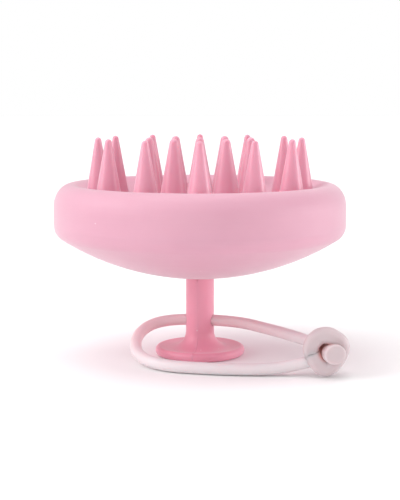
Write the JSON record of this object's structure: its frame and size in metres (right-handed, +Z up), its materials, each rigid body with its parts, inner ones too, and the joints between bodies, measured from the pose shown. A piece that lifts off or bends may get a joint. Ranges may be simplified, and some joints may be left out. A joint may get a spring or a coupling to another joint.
{
  "type": "scalp massager brush",
  "caption": "Round palm-held scalp massager: dished head with soft silicone cones, finger stem with a foot disc, and a knotted cord loop through the stem.",
  "frame": {"origin": "centre of the foot disc's flat underside", "axes": "+Z up along the stem to the bristle tips, -Y towards the side where the cord's knot lies, +X to the knot's side"},
  "size_m": [0.085, 0.085, 0.064],
  "materials": {
    "head_shell": "soft satin, pale pink",
    "bristle_silicone": "smooth silicone, rose pink",
    "handle_plastic": "satin, rose pink",
    "inner_plastic": "natural white",
    "screw_steel": "zinc plated",
    "spring_steel": "bright spring steel",
    "cord_silicone": "soft translucent silicone, whitish pink"
  },
  "bodies": {
    "handle": {"handle": "handle_plastic", "retaining_clip": "spring_steel"},
    "head": {"face_cap": "head_shell", "back_dome": "head_shell", "clamp_plate": "inner_plastic", "thrust_washer": "inner_plastic", "clamp_screw_1": "screw_steel", "clamp_screw_2": "screw_steel", "clamp_screw_3": "screw_steel", "bristle_centre": "bristle_silicone", "bristle_inner_1": "bristle_silicone", "bristle_inner_2": "bristle_silicone", "bristle_inner_3": "bristle_silicone", "bristle_inner_4": "bristle_silicone", "bristle_inner_5": "bristle_silicone", "bristle_inner_6": "bristle_silicone", "bristle_outer_1": "bristle_silicone", "bristle_outer_2": "bristle_silicone", "bristle_outer_3": "bristle_silicone", "bristle_outer_4": "bristle_silicone", "bristle_outer_5": "bristle_silicone", "bristle_outer_6": "bristle_silicone", "bristle_outer_7": "bristle_silicone", "bristle_outer_8": "bristle_silicone", "bristle_outer_9": "bristle_silicone", "bristle_outer_10": "bristle_silicone", "bristle_outer_11": "bristle_silicone", "bristle_outer_12": "bristle_silicone"},
    "cord": {"cord_left": "cord_silicone", "cord_right": "cord_silicone", "cord_knot": "cord_silicone"}
  },
  "joints": [
    {"name": "head_swivel", "type": "hinge", "parent": "handle", "child": "head", "pos_m": [0, 0, 0.0232], "axis": [0, 0, 1], "continuous": true},
    {"name": "cord_swing", "type": "hinge", "parent": "handle", "child": "cord", "pos_m": [0, 0, 0.01025], "axis": [0.9848, -0.1736, 0], "range_deg": [-45, 180]}
  ]
}
